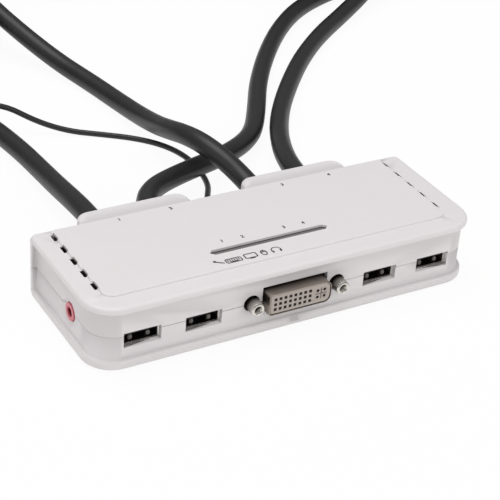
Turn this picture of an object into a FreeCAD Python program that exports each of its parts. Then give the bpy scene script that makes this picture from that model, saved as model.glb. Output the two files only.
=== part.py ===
"""Four-computer KVM switch with captive cables: a white two-shell case with its sockets and board,
four thick cables that end in monitor and USB plugs, and a thin lead to a remote selector button.
Millimetres. X runs along the front, Y towards the cables, Z up from the surface the feet stand on.
Lengths across the case are measured from its middle; case_y then centres the whole object."""
import FreeCAD, Part
import math
import os

import Sketcher

V = FreeCAD.Vector
doc = FreeCAD.newDocument("kvm_switch")

# ---- driving dimensions ----------------------------------------------------------------------
SIZES = {
    "case_w": 148.0,
    "case_d": 53.0,
    "foot_proud": 0.7,
    "base_top": 4.4,
    "seam_z": 12.7,
    "rim_low": 21.9,
    "top_z": 24.5,
    "panel_z": 25.2,
    "wall": 2.0,
    "wall_in": 1.6,
    "back_slab": 2.6,
    "corner_front": 11.0,
    "corner_back": 2.5,
    "seam_gap": 0.25,
    "lip_rise": 1.4,
    "panel_left": 67.0,
    "panel_right": 65.5,
    "panel_front": -19.2,
    "hood_back": 33.0,
    "hood_low": 19.6,
    "hood_w": 42.3,
    "hood_x": 32.1,
    "hood_shift": -2.1,
    "window_x": -1.6,
    "window_y": -9.0,
    "window_w": 45.8,
    "window_d": 3.0,
    "board_low": 5.9,
    "board_thick": 1.6,
    "usb_x_outer": 56.35,
    "usb_x_inner": 34.25,
    "usb_z": 11.0,
    "usb_w": 13.1,
    "usb_tall": 5.3,
    "usb_deep": 14.0,
    "usb_set_back": 1.4,
    "sheet_metal": 0.3,
    "dvi_z": 12.95,
    "dvi_w": 24.2,
    "dvi_tall": 8.3,
    "dvi_out": 4.2,
    "pin_pitch": 1.905,
    "jackscrew_gap": 33.0,
    "jackscrew_out": 4.7,
    "jack_y": -3.0,
    "jack_z": 11.1,
    "jack_bore": 1.8,
    "cable_dia": 8.0,
    "cable_z": 12.7,
    "cable_x_inner": 22.0,
    "cable_x_outer": 42.4,
    "relief_tip": 41.0,
    "remote_dia": 2.3,
    "plug_w": 40.0,
    "plug_long": 38.0,
    "plug_tall": 15.5,
    "coil_mean": 44.0,
    "usb_lead_dia": 3.6,
}
sheet = doc.addObject("Spreadsheet::Sheet", "dims")
for row, (alias, value) in enumerate(SIZES.items(), 1):
    sheet.set(f"A{row}", alias)
    sheet.set(f"B{row}", str(value))
    sheet.setAlias(f"B{row}", alias)
doc.recompute()


def size(alias):
    """The number in one cell of the sheet."""
    return float(sheet.get(alias))


# The object is centred from the jackscrews' tips in front to the hoods behind.
FRONT_WALL = "-dims.case_d / 2 + dims.wall_in"
case_y = (size("case_d") / 2 - size("wall_in") + size("jackscrew_out") - size("hood_back")) / 2

pieces = {}


def keep(node, piece, place=None):
    """Names a finished sub-part and sets where it stands: in the case, or at a place of its own."""
    piece.Label = node
    place = place or FreeCAD.Placement()
    shift = FreeCAD.Placement(V(0, case_y, 0), FreeCAD.Rotation())
    piece.Placement = shift.multiply(place)
    pieces[node] = piece
    return piece


# ---- primitives bound to the sheet -----------------------------------------------------------
AXES = {"X": V(1, 0, 0), "Y": V(0, 1, 0), "Z": V(0, 0, 1)}


def set_base(piece, x, y, z):
    for letter, value in zip("xyz", (x, y, z)):
        piece.setExpression("Placement.Base." + letter, str(value))


def block(name, left, right, front, back, low, high):
    """A box between six faces, each an expression of the sheet's cells."""
    box = doc.addObject("Part::Box", name)
    box.setExpression("Length", f"({right}) - ({left})")
    box.setExpression("Width", f"({back}) - ({front})")
    box.setExpression("Height", f"({high}) - ({low})")
    set_base(box, left, front, low)
    return box


def rod(name, axis, radius, length, x, y, z):
    """A round bar that starts at x, y, z and runs along one axis."""
    bar = doc.addObject("Part::Cylinder", name)
    bar.Placement = FreeCAD.Placement(V(), FreeCAD.Rotation(V(0, 0, 1), AXES[axis]))
    bar.setExpression("Radius", str(radius))
    bar.setExpression("Height", str(length))
    set_base(bar, x, y, z)
    return bar


def taper(name, axis, radius, end_radius, length, x, y, z):
    cone = doc.addObject("Part::Cone", name)
    cone.Placement = FreeCAD.Placement(V(), FreeCAD.Rotation(V(0, 0, 1), AXES[axis]))
    cone.setExpression("Radius1", str(radius))
    cone.setExpression("Radius2", str(end_radius))
    cone.setExpression("Height", str(length))
    set_base(cone, x, y, z)
    return cone


def fuse(name, parts):
    both = doc.addObject("Part::MultiFuse", name)
    both.Shapes = parts
    return both


def group(name, parts):
    """Separate solids that share one node."""
    together = doc.addObject("Part::Compound", name)
    together.Links = parts
    return together


def cut(name, base, tools):
    result = doc.addObject("Part::Cut", name)
    result.Base = base
    result.Tool = tools[0] if len(tools) == 1 else fuse(name + "_tools", tools)
    return result


def rounded(name, base, radius, wanted):
    """Rounds the edges of a solid that the test picks."""
    doc.recompute()
    smooth = doc.addObject("Part::Fillet", name)
    smooth.Base = base
    numbers = [n for n, edge in enumerate(base.Shape.Edges, 1) if wanted(edge)]
    smooth.Edges = [(n, radius, radius) for n in numbers]
    return smooth


def runs_along(edge, axis):
    """Whether an edge is a straight one along an axis."""
    ends = [vertex.Point for vertex in edge.Vertexes]
    return len(ends) == 2 and (ends[1] - ends[0]).cross(AXES[axis]).Length < 1e-6


# ---- sketched bodies -------------------------------------------------------------------------
def floor_sketch(body, level):
    """A sketch parallel to the body's own XY plane."""
    flat = next(f for f in body.Origin.OriginFeatures if f.Role == "XY_Plane")
    drawing = body.newObject("Sketcher::SketchObject", body.Name + "_outline")
    drawing.AttachmentSupport = (flat, [""])
    drawing.MapMode = "FlatFace"
    drawing.setExpression("AttachmentOffset.Base.z", level)
    return drawing


def outline(body, level, left, right, front, back, front_radius, back_radius):
    """A rounded rectangle: four lines and four tangent corner arcs, dimensioned by expressions."""
    drawing = floor_sketch(body, level)
    x0, x1, y0, y1 = -50.0, 50.0, -20.0, 20.0
    corners = [(x1, y0), (x1, y1), (x0, y1), (x0, y0)]
    inward = [(-1, 1), (-1, -1), (1, -1), (1, 1)]
    radii = [front_radius, back_radius, back_radius, front_radius]
    r = 2.0
    for n, ((x, y), (sx, sy)) in enumerate(zip(corners, inward)):
        before = corners[n - 1]
        start = V(before[0] + (r if n == 0 else -r if n == 2 else 0), before[1], 0)
        if n in (1, 3):
            start = V(before[0], before[1] + (r if n == 1 else -r), 0)
        end = V(x - r, y, 0) if n == 0 else V(x, y - r, 0) if n == 1 else V(x + r, y, 0)
        if n == 3:
            end = V(x, y + r, 0)
        drawing.addGeometry(Part.LineSegment(start, end), False)
        round_corner = Part.Circle(V(x + r * sx, y + r * sy, 0), V(0, 0, 1), r)
        turn = (n - 1) * math.pi / 2
        drawing.addGeometry(Part.ArcOfCircle(round_corner, turn, turn + math.pi / 2), False)
    for n in range(8):
        drawing.addConstraint(Sketcher.Constraint("Tangent", n, 2, (n + 1) % 8, 1))
    for n in (0, 4):
        drawing.addConstraint(Sketcher.Constraint("Horizontal", n))
    for n in (2, 6):
        drawing.addConstraint(Sketcher.Constraint("Vertical", n))
    dimensions = [
        ("DistanceY", 0, y0, front),
        ("DistanceX", 2, x1, right),
        ("DistanceY", 4, y1, back),
        ("DistanceX", 6, x0, left),
    ]
    for kind, line, value, wanted in dimensions:
        number = drawing.addConstraint(Sketcher.Constraint(kind, -1, 1, line, 1, value))
        drawing.setExpression(f"Constraints[{number}]", wanted)
    for n, wanted in enumerate(radii):
        number = drawing.addConstraint(Sketcher.Constraint("Radius", 2 * n + 1, r))
        drawing.setExpression(f"Constraints[{number}]", wanted)
    return drawing


def pad(body, drawing, height):
    solid = body.newObject("PartDesign::Pad", body.Name + "_pad")
    solid.Profile = drawing
    solid.setExpression("Length", height)
    doc.recompute()
    return solid


def hollow(body, drawing, depth, upward):
    """A pocket, checked to have taken material away."""
    before = body.Shape.Volume
    pocket = body.newObject("PartDesign::Pocket", body.Name + "_pocket")
    pocket.Profile = drawing
    pocket.setExpression("Length", depth)
    pocket.Reversed = upward
    doc.recompute()
    if body.Shape.Volume > before - 1:
        raise ValueError(body.Name + ": the pocket cut nothing")
    return pocket


def soften(body, radius, wanted):
    """Rounds the edges of a body's last feature that the test picks."""
    feature = body.Tip
    names = [f"Edge{n}" for n, edge in enumerate(feature.Shape.Edges, 1) if wanted(edge)]
    fillet = body.newObject("PartDesign::Fillet", body.Name + "_fillet")
    fillet.Base = (feature, names)
    fillet.Radius = radius
    doc.recompute()
    return fillet


def level_edges(z, spare=lambda box: True):
    """A test for edges that lie flat at one height, and pass a second test on their box."""

    def wanted(edge):
        box = edge.BoundBox
        return abs(box.ZMin - z) < 0.01 and abs(box.ZMax - z) < 0.01 and spare(box)

    return wanted


HALF_W = "dims.case_w / 2"
HALF_D = "dims.case_d / 2"
WALL_W = "dims.case_w / 2 - dims.wall_in"
INNER_W = "dims.case_w / 2 - dims.wall_in - dims.wall"
INNER_FRONT = "-dims.case_d / 2 + dims.wall_in + dims.wall"
INNER_BACK = "dims.case_d / 2 - dims.back_slab"
RIM_IN = "dims.corner_front - dims.wall_in"
INNER_R = "dims.corner_front - dims.wall_in - dims.wall"


def wall_outline(body, level):
    """The side walls, set in from the rims on the front and both ends."""
    back = "dims.case_d / 2 - 0.5"
    front = "-" + HALF_D + " + dims.wall_in"
    return outline(body, level, "-dims.case_w / 2 + dims.wall_in", WALL_W, front, back, RIM_IN, "1")


def rim_outline(body, level):
    sides = ("-" + HALF_W, HALF_W, "-" + HALF_D, HALF_D)
    return outline(body, level, *sides, "dims.corner_front", "dims.corner_back")


def back_outline(body, level):
    """The back wall, as deep as the rims, which frames the ends."""
    front = "dims.case_d / 2 - dims.back_slab"
    return outline(body, level, "-" + HALF_W, HALF_W, front, HALF_D, "0.4", "1.6")


def room_outline(body, level, margin="0"):
    """The hollow inside the walls, wider by a margin where the two shells overlap."""
    wide = INNER_W + " + " + margin
    left = f"-({wide})"
    front = f"{INNER_FRONT} - {margin}"
    return outline(body, level, left, wide, front, INNER_BACK, f"{INNER_R} + {margin}", "0.8")


# ---- upper shell: moulded ABS, hollow below, with the panel and the two cable hoods -----------
RIM_SOFT = 1.15
LIP = "0.9"
top = doc.addObject("PartDesign::Body", "upper_form")
wall_start = "dims.seam_z + dims.seam_gap / 2"
pad(top, rim_outline(top, "dims.rim_low"), "dims.top_z - dims.rim_low")
half_d = size("case_d") / 2
soften(top, RIM_SOFT, level_edges(size("top_z")))
soften(top, 0.8, level_edges(size("rim_low")))
pad(top, wall_outline(top, wall_start), f"dims.rim_low + 1 - ({wall_start})")
pad(top, back_outline(top, wall_start), f"dims.rim_low + 1.2 - ({wall_start})")
panel = ("-dims.panel_left", "dims.panel_right", "dims.panel_front", f"{HALF_D} - 1.3", "4", "1")
pad(top, outline(top, "dims.top_z", *panel), "dims.panel_z - dims.top_z")
soften(top, 0.6, level_edges(size("panel_z")))
room_high = "dims.top_z - dims.wall"
hollow(top, room_outline(top, wall_start), f"{room_high} - ({wall_start})", True)
hollow(top, room_outline(top, wall_start, "1.05"), "dims.lip_rise + 0.2", True)
hoods = []
hood_top = size("panel_z") - 0.25
for side in (-1, 1):
    middle = f"{side} * dims.hood_x + dims.hood_shift"
    box = block("hood", f"{middle} - dims.hood_w / 2", f"{middle} + dims.hood_w / 2",
                f"{HALF_D} - 2.2", "dims.hood_back", "dims.hood_low", "dims.panel_z - 0.25")
    corners = rounded("hood_corners", box, 5, lambda edge: runs_along(edge, "Z")
                      and edge.BoundBox.YMin > half_d + 1)
    hoods.append(rounded("hood_soft", corners, 1.8,
                         level_edges(hood_top, lambda box: box.YMax > half_d + 1)))

# ---- lower shell: moulded ABS, with the bulged base rim and a lip inside the seam -------------
base = doc.addObject("PartDesign::Body", "lower_form")
pad(base, rim_outline(base, "dims.foot_proud"), "dims.base_top - dims.foot_proud")
soften(base, 1.4, level_edges(size("foot_proud")))
soften(base, 1.0, level_edges(size("base_top")))
wall_end = "dims.seam_z - dims.seam_gap / 2"
pad(base, wall_outline(base, "dims.base_top - 1"), f"{wall_end} - dims.base_top + 1")
pad(base, back_outline(base, "dims.base_top - 1.5"), f"{wall_end} - dims.base_top + 1.5")
lip_out = outline(base, "dims.seam_z - 2", f"-({INNER_W}) - {LIP}", f"{INNER_W} + {LIP}",
                  f"{INNER_FRONT} - {LIP}", f"{INNER_BACK} - 0.2", f"{INNER_R} + {LIP}", "0.6")
pad(base, lip_out, "2 + dims.lip_rise")
floor_top = "dims.foot_proud + 2.2"
hollow(base, room_outline(base, floor_top), f"dims.seam_z + dims.lip_rise + 1 - ({floor_top})", True)


# ---- openings that both shells share ---------------------------------------------------------
USB_PLACES = ("-dims.usb_x_outer", "-dims.usb_x_inner", "dims.usb_x_inner", "dims.usb_x_outer")
CABLE_PLACES = ("-dims.cable_x_outer", "-dims.cable_x_inner", "dims.cable_x_inner", "dims.cable_x_outer")


def port_tools(tag):
    """Windows through the front, end and back walls for the sockets and the cable reliefs."""
    tools = []
    before, behind = f"-{HALF_D} - 1", f"{INNER_FRONT} + 1"
    for n, x in enumerate(USB_PLACES):
        sides = (f"{x} - dims.usb_w / 2 - 0.1", f"{x} + dims.usb_w / 2 + 0.1")
        rise = ("dims.usb_z - dims.usb_tall / 2 - 0.1", "dims.usb_z + dims.usb_tall / 2 + 0.1")
        tools.append(block(f"{tag}_usb_window_{n + 1}", *sides, before, behind, *rise))
    half = "dims.dvi_w / 2 + 0.4"
    rise = ("dims.dvi_z - dims.dvi_tall / 2 - 0.4", "dims.dvi_z + dims.dvi_tall / 2 + 0.9")
    tools.append(block(f"{tag}_dvi_window", f"-({half})", half, before, behind, *rise))
    for side in (-1, 1):
        x = f"{side} * dims.jackscrew_gap / 2"
        tools.append(rod(f"{tag}_jackscrew_hole", "Y", 3.0, 6, x, before, "dims.dvi_z"))
        ring_x = f"{side} * dims.case_w / 2 - 4" if side > 0 else "-dims.case_w / 2"
        tools.append(rod(f"{tag}_jack_hole", "X", 3.4, 4.6, ring_x, "dims.jack_y", "dims.jack_z"))
        wide, narrow = (5.5, 4.4) if side < 0 else (4.4, 5.5)
        dish_x = f"{side} * ({WALL_W}) - {0.8 if side > 0 else 0}"
        dish = taper(f"{tag}_jack_dish", "X", wide, narrow, 0.8, dish_x, "dims.jack_y", "dims.jack_z")
        tools.append(dish)
    for x in CABLE_PLACES:
        start = f"{INNER_BACK} - 1"
        tools.append(rod(f"{tag}_cable_hole", "Y", 6.4, "dims.back_slab + 2", x, start, "dims.cable_z"))
    tools.append(rod(f"{tag}_lead_hole", "Y", 3.1, "dims.back_slab + 2", 1, f"{INNER_BACK} - 1", 9))
    return tools


# Screw towers stand at the back corners and between the front sockets.
TOWERS = [(-65.0, 19.6), (65.0, 19.6), (-45.3, -18.6), (45.3, -18.6)]
towers_up, pilots = [], []
for x, y in TOWERS:
    towers_up.append(rod("tower", "Z", 3.1, f"{room_high} + 0.5 - 14.6", x, y, 14.6))
    pilots.append(rod("pilot", "Z", 1.0, 7.2, x, y, 13.6))
slots = []
for edge in ("-dims.panel_left", "dims.panel_right"):
    for n in range(5):
        middle = f"{21 - 8.0 * n}"
        slots.append(block("vent", f"{edge} - 0.85", f"{edge} + 0.65", middle + " - 2",
                           middle + " + 2", 21, 26))


def pointed_bar(name, length, width, low, high):
    """A bar along X whose two ends come to a point, under the row of digits."""
    half = f"({length} - {width}) / 2"
    y0, y1 = f"dims.window_y - {width} / 2", f"dims.window_y + {width} / 2"
    ends = []
    for side in (-1, 1):
        tip = doc.addObject("Part::Prism", name + "_tip")
        tip.Polygon = 4
        tip.setExpression("Circumradius", f"{width} / 2")
        tip.setExpression("Height", f"{high} - ({low})")
        set_base(tip, f"dims.window_x + {side} * {half}", "dims.window_y", low)
        ends.append(tip)
    middle = block(name + "_bar", f"dims.window_x - {half}", f"dims.window_x + {half}", y0, y1, low, high)
    return fuse(name, [middle, *ends])


window_hole = pointed_bar("window_hole", "dims.window_w", "dims.window_d", "20", "27")
upper_tools = port_tools("upper") + pilots + slots + [window_hole]
keep("upper_shell", cut("upper_cut", fuse("upper_solid", [top, *hoods, *towers_up]), upper_tools))

towers_down, screw_holes, feet_wells = [], [], []
for x, y in TOWERS:
    towers_down.append(rod("post", "Z", 3.1, "14.4 - 1", x, y, 1))
    screw_holes.append(rod("screw_hole", "Z", 1.4, 16, x, y, 0))
    screw_holes.append(rod("head_well", "Z", 2.7, 2.6, x, y, 0))
BOARD_POSTS = [(-52.0, 8.0), (52.0, 8.0)]
for x, y in BOARD_POSTS:
    towers_down.append(rod("board_post", "Z", 2.6, "dims.board_low - 1.5", x, y, 1.5))
    screw_holes.append(rod("board_pilot", "Z", 0.9, "dims.board_low", x, y, 2.2))
FEET = [(side * 64.0, 8.0 * end) for side in (-1, 1) for end in (-2, 1)]
for x, y in FEET:
    feet_wells.append(rod("foot_well", "Z", 4.6, 1.2, x, y, 0))
scoop = taper("scoop", "Z", 60, 61, 2.4, 0, f"-{HALF_D} - 60 + 0.1", "dims.base_top - 2")
lower_tools = port_tools("lower") + screw_holes + feet_wells + [scoop]
keep("lower_shell", cut("lower_cut", fuse("lower_solid", [base, *towers_down]), lower_tools))

# ---- smoked window, light guides and the LEDs under them -------------------------------------
LED_STEPS = [-15.8, -8.0, 8.2, 15.8]
slim = "dims.window_w - 0.2"
keep("led_window", pointed_bar("window_pane", slim, "(dims.window_d - 0.14)", "22.9", "24.1"))
guides, lamps = [], []
for step in LED_STEPS:
    x = f"dims.window_x + {step}"
    guides.append(rod("guide", "Z", 1.2, "22.8 - 9.3", x, "dims.window_y", 9.3))
    spots = (f"{x} - 0.8", f"{x} + 0.8", "dims.window_y - 1", "dims.window_y + 1")
    lamps.append(block("lamp", *spots, "dims.board_low + dims.board_thick", 9.2))
keep("light_guides", group("guide_set", guides))
keep("status_leds", group("lamp_set", lamps))

# ---- circuit board with its parts, screws and feet -------------------------------------------
board_top = "dims.board_low + dims.board_thick"
plate = block("plate", -68.5, 68.5, f"{INNER_FRONT} + 1.8", 15.4, "dims.board_low", board_top)
plate = rounded("plate_soft", plate, 5, lambda edge: runs_along(edge, "Z")
                and edge.BoundBox.YMax < 0)
notches = [rod("notch", "Z", 3.7, 6, x, y, 4) for x, y in TOWERS]
notches += [rod("board_hole", "Z", 1.2, 6, x, y, 4) for x, y in BOARD_POSTS]
keep("circuit_board", cut("board", plate, notches))
CHIPS = [(-30, 2, 14, 14, 1.4), (26, 0, 12, 12, 1.4), (-2, 7, 9, 6, 1.6), (46, -4, 6, 5, 1.5),
         (-50, -3, 6, 5, 1.5), (8, 8, 8, 4.4, 3.4)]
chips = []
for x, y, wide, deep, tall in CHIPS:
    sides = (x - wide / 2, x + wide / 2, y - deep / 2, y + deep / 2)
    chips.append(block("chip", *sides, board_top, f"{board_top} + {tall}"))
for x in (-14, 14, 38):
    chips.append(rod("capacitor", "Z", 2.5, 7, x, 11.5, board_top))
keep("board_parts", group("chip_set", chips))
case_screws, board_screws = [], []
for x, y in TOWERS:
    head = rod("screw_head", "Z", 2.5, 1.5, x, y, 1.1)
    shank = rod("screw_shank", "Z", 1.0, 14, x, y, 2.6)
    slot = block("screw_slot", x - 1.6, x + 1.6, y - 0.3, y + 0.3, 1.0, 1.7)
    slot_across = block("screw_slot", x - 0.3, x + 0.3, y - 1.6, y + 1.6, 1.0, 1.7)
    case_screws.append(cut("case_screw", fuse("screw", [head, shank]), [slot, slot_across]))
for x, y in BOARD_POSTS:
    head = rod("screw_head", "Z", 2.3, 1.4, x, y, board_top)
    shank = rod("screw_shank", "Z", 0.9, 5, x, y, f"{board_top} - 5")
    board_screws.append(fuse("board_screw", [head, shank]))
keep("case_screws", group("case_screw_set", case_screws))
keep("board_screws", group("board_screw_set", board_screws))
feet = [rod("foot", "Z", 4.5, 1.2, x, y, 0) for x, y in FEET]
soft_feet = [rounded("foot_round", foot, 0.3, level_edges(0.0)) for foot in feet]
keep("rubber_feet", group("feet", soft_feet))

# ---- USB sockets: folded steel shell, black tongue, four contacts ------------------------------
tongues, contacts = [], []
shell_front = f"{FRONT_WALL} + dims.usb_set_back"
for n, x in enumerate(USB_PLACES, 1):
    half_w, half_tall = "dims.usb_w / 2", "dims.usb_tall / 2"
    ends = (shell_front, f"{shell_front} + dims.usb_deep")
    can = block("can", f"{x} - {half_w}", f"{x} + {half_w}", *ends,
                f"dims.usb_z - {half_tall}", f"dims.usb_z + {half_tall}")
    room = block("can_room", f"{x} - {half_w} + dims.sheet_metal", f"{x} + {half_w} - dims.sheet_metal",
                 f"{shell_front} - 1", f"{shell_front} + dims.usb_deep - dims.sheet_metal",
                 f"dims.usb_z - {half_tall} + dims.sheet_metal",
                 f"dims.usb_z + {half_tall} - dims.sheet_metal")
    folded = cut("can_cut", can, [room])
    floor_z = f"dims.usb_z - {half_tall} + dims.sheet_metal - 0.05"
    springs = []
    for side in (-1, 1):
        sides = (f"{x} + {side} * 3.2 - 1", f"{x} + {side} * 3.2 + 1")
        finger = block("finger", *sides, f"{shell_front} + 1.6", f"{shell_front} + 6.6", floor_z,
                       f"{floor_z} + 0.45")
        springs.append(finger)
    keep(f"usb_shell_{n}", fuse("usb_can", [folded, *springs]))
    slab = block("slab", f"{x} - 5.5", f"{x} + 5.5", f"{shell_front} + 1.3",
                 f"{shell_front} + 11.2", "dims.usb_z + 0.15", "dims.usb_z + 2.0")
    root = block("slab_root", f"{x} - 6.2", f"{x} + 6.2", f"{shell_front} + 11",
                 f"{shell_front} + 13.6", "dims.usb_z - 2.3", "dims.usb_z + 2.3")
    tongues.append(fuse("tongue", [slab, root]))
    for step in (-3.5, -1.0, 1.0, 3.5):
        sides = (f"{x} + {step} - 0.5", f"{x} + {step} + 0.5")
        contacts.append(block("strip", *sides, f"{shell_front} + 1.9", f"{shell_front} + 10",
                              "dims.usb_z - 0.1", "dims.usb_z + 0.15"))
keep("usb_tongues", group("tongue_set", tongues))
keep("usb_contacts", group("contact_set", contacts))

# ---- monitor socket: drawn nickel shell, insulator with 24 square and 4 round holes ------------
dvi_face = f"{FRONT_WALL} - dims.dvi_out"
shell_tip = -half_d + size("wall_in") - size("dvi_out")


def dvi_bar(name, shrink, front, back):
    """A bar with the socket's outline: square corners on the left, rounder ones on the right."""
    half_w, half_tall = f"(dims.dvi_w / 2 - {shrink})", f"(dims.dvi_tall / 2 - {shrink})"
    bar = block(name + "_bar", f"-{half_w}", half_w, front, back, f"dims.dvi_z - {half_tall}",
                f"dims.dvi_z + {half_tall}")
    left = rounded(name + "_left", bar, 1.1 - shrink * 0.6,
                   lambda edge: runs_along(edge, "Y") and edge.BoundBox.XMax < 0)
    return rounded(name, left, 2.7 - shrink,
                   lambda edge: runs_along(edge, "Y") and edge.BoundBox.XMin > 9)


shell_bar = rounded("dvi_lip", dvi_bar("dvi_outer", 0, dvi_face, f"{INNER_FRONT} + 0.5"), 0.4,
                    lambda edge: edge.BoundBox.YMax < shell_tip + 0.01)
shell_room = dvi_bar("dvi_inner", 0.45, f"{dvi_face} - 1", f"{INNER_FRONT} + 2")
flange = block("dvi_flange", -20, 20, f"{INNER_FRONT} + 0.1", f"{INNER_FRONT} + 1.1",
               "dims.dvi_z - 5.3", "dims.dvi_z + 5.6")
flange_holes = []
for side in (-1, 1):
    x = f"{side} * dims.jackscrew_gap / 2"
    flange_holes.append(rod("flange_hole", "Y", 1.6, 4, x, f"{INNER_FRONT} - 1", "dims.dvi_z"))
keep("dvi_shell", cut("dvi_can", fuse("dvi_metal", [shell_bar, flange]),
                      [shell_room, *flange_holes]))
filling = dvi_bar("dvi_filling", 0.7, f"{dvi_face} + 0.25", f"{INNER_FRONT} + 9")
sockets, blades = [], []
first_pin, cross_x = -9.66, 7.97
pin_start = f"{dvi_face} - 0.5"
for column in range(8):
    for line in (-1, 0, 1):
        x = f"{first_pin} + {column} * dims.pin_pitch"
        z = f"dims.dvi_z + {line} * dims.pin_pitch"
        sides = (f"{x} - 0.6", f"{x} + 0.6", pin_start, f"{dvi_face} + 7")
        sockets.append(block("square_hole", *sides, f"{z} - 0.6", f"{z} + 0.6"))
        blades.append(block("spring", f"{x} - 0.45", f"{x} - 0.2", f"{dvi_face} + 1.4",
                            f"{dvi_face} + 6.9", f"{z} - 0.3", f"{z} + 0.3"))
for side in (-1, 1):
    for line in (-1, 1):
        x, z = f"{cross_x} + {side} * 1.33", f"dims.dvi_z + {line} * 1.25"
        sockets.append(rod("round_hole", "Y", 0.6, 7.5, x, pin_start, z))
        blades.append(rod("round_spring", "Y", 0.32, 5.5, x, f"{dvi_face} + 1.4", z))
sockets.append(block("cross_flat", cross_x - 2.3, cross_x + 2.3, pin_start, f"{dvi_face} + 7",
                     "dims.dvi_z - 0.14", "dims.dvi_z + 0.14"))
sockets.append(block("cross_tall", cross_x - 0.14, cross_x + 0.14, pin_start, f"{dvi_face} + 7",
                     "dims.dvi_z - 2.2", "dims.dvi_z + 2.2"))
keep("dvi_insulator", cut("insulator", filling, sockets))
keep("dvi_contacts", group("dvi_blades", blades))

screws = []
for side in (-1, 1):
    x = f"{side} * dims.jackscrew_gap / 2"
    start = f"{FRONT_WALL} - dims.jackscrew_out"
    hexagon = doc.addObject("Part::Prism", "hexagon")
    hexagon.Placement = FreeCAD.Placement(V(), FreeCAD.Rotation(V(0, 0, 1), V(0, 1, 0)))
    hexagon.Polygon = 6
    hexagon.Circumradius = 2.75
    hexagon.setExpression("Height", f"{INNER_FRONT} - ({start})")
    set_base(hexagon, x, start, "dims.dvi_z")
    bevel = taper("hex_bevel", "Y", 2.3, 8.7, 6.4, x, start, "dims.dvi_z")
    crown = doc.addObject("Part::Common", "hex_crown")
    crown.Base, crown.Tool = hexagon, bevel
    stud = rod("hex_stud", "Y", 1.5, 5, x, f"{INNER_FRONT} - 0.5", "dims.dvi_z")
    bore = rod("hex_bore", "Y", 1.3, 5, x, start, "dims.dvi_z")
    screws.append(cut("jackscrew", fuse("hex_and_stud", [crown, stud]), [bore]))
keep("dvi_jackscrews", group("jackscrew_set", screws))

# ---- sound jacks: a black body behind each end wall and a coloured ring in its hole -----------
for name, side in (("mic_jack", -1), ("headphone_jack", 1)):
    face, inner = f"{side} * ({WALL_W} - 0.3)", f"{side} * ({INNER_W} - 0.3)"
    low_x, high_x = (face, inner) if side < 0 else (inner, face)
    ring = rod("ring", "X", 3.15, f"({high_x}) - ({low_x})", low_x, "dims.jack_y", "dims.jack_z")
    hole = rod("ring_hole", "X", "dims.jack_bore", 5, f"{low_x} - 1", "dims.jack_y", "dims.jack_z")
    keep(name + "_ring", cut("ring_cut", ring, [hole]))
    reach = f"{side} * ({INNER_W} - 12.5)"
    back_x, front_x = (inner, reach) if side < 0 else (reach, inner)
    sides = (back_x, front_x, "dims.jack_y - 3.5", "dims.jack_y + 3.5", board_top, "dims.jack_z + 3.4")
    body = block("jack_block", *sides)
    bore_x = f"{back_x} - 1" if side < 0 else f"{front_x} - 11"
    bore = rod("jack_bore", "X", "dims.jack_bore", 12, bore_x, "dims.jack_y", "dims.jack_z")
    keep(name, cut("jack_cut", body, [bore]))

# ---- strain reliefs: one flexible moulding for each cable, clamped in the back wall -----------
reliefs = []
for x in CABLE_PLACES:
    inside = rod("relief_foot", "Y", 7.2, 1.6, x, f"{INNER_BACK} - 1.8", "dims.cable_z")
    straight = rod("relief_body", "Y", 6.25, f"34 - ({INNER_BACK}) + 1", x, f"{INNER_BACK} - 1",
                   "dims.cable_z")
    slope = taper("relief_taper", "Y", 6.25, 4.9, "dims.relief_tip - 34", x, 34, "dims.cable_z")
    grooves = []
    for at in (36.2, 38.2):
        outer = rod("relief_ring", "Y", 6.9, 0.8, x, at, "dims.cable_z")
        core = rod("relief_core", "Y", 4.9, 0.8, x, at, "dims.cable_z")
        grooves.append(cut("relief_groove", outer, [core]))
    reliefs.append(cut("relief", fuse("relief_solid", [inside, straight, slope]), grooves))
small_foot = rod("small_foot", "Y", 3.6, 1.2, 1, f"{INNER_BACK} - 1.4", 9)
small_body = rod("small_body", "Y", 3.0, f"28.5 - ({INNER_BACK}) + 1", 1, f"{INNER_BACK} - 1", 9)
small_slope = taper("small_taper", "Y", 2.6, 1.7, 6.5, 1, 28.5, 9)
reliefs.append(fuse("small_relief", [small_foot, small_body, small_slope]))
keep("strain_reliefs", group("relief_set", reliefs))


# ---- cords: straight runs joined by tangent arcs, and one ring for each coil ------------------
def heading(step):
    """A unit vector along a step."""
    return step / step.Length


def cord_path(name, points):
    """The centreline: each arc takes 0.45 of the shorter of its two runs. Prints the radii."""
    edges, radii = [], []
    at = points[0]
    for before, corner, after in zip(points, points[1:], points[2:]):
        way_in, way_out = heading(corner - before), heading(after - corner)
        turn = way_in.getAngle(way_out)
        taken = 0.45 * min((corner - before).Length, (after - corner).Length)
        radius = taken / math.tan(turn / 2)
        first, last = corner - way_in * taken, corner + way_out * taken
        to_centre = heading(way_out - way_in)
        middle = corner + to_centre * (radius / math.cos(turn / 2) - radius)
        edges += [Part.LineSegment(at, first).toShape(), Part.Arc(first, middle, last).toShape()]
        radii.append(round(radius, 1))
        at = last
    edges.append(Part.LineSegment(at, points[-1]).toShape())
    print(name, "arc radii in mm:", radii)
    return Part.Wire(edges)


def cord_tube(name, points, diameter):
    """A solid tube along the path, its volume compared with its section times its length."""
    path = cord_path(name, points)
    end = Part.Circle(points[0], points[1] - points[0], diameter / 2)
    tube = path.makePipeShell([Part.Wire([end.toShape()])], True, False)
    expected = math.pi / 4 * diameter ** 2 * path.Length
    if not tube.isValid() or abs(tube.Volume / expected - 1) > 0.01:
        raise ValueError(f"{name}: tube volume {tube.Volume:.0f}, expected {expected:.0f}")
    print(name, "tube length in mm:", round(path.Length, 1))
    return tube


def cord_node(node, tubes):
    """A node that holds the tubes of one cord."""
    cord = doc.addObject("Part::Feature", node)
    cord.Shape = Part.makeCompound(tubes)
    return keep(node, cord)


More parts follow.
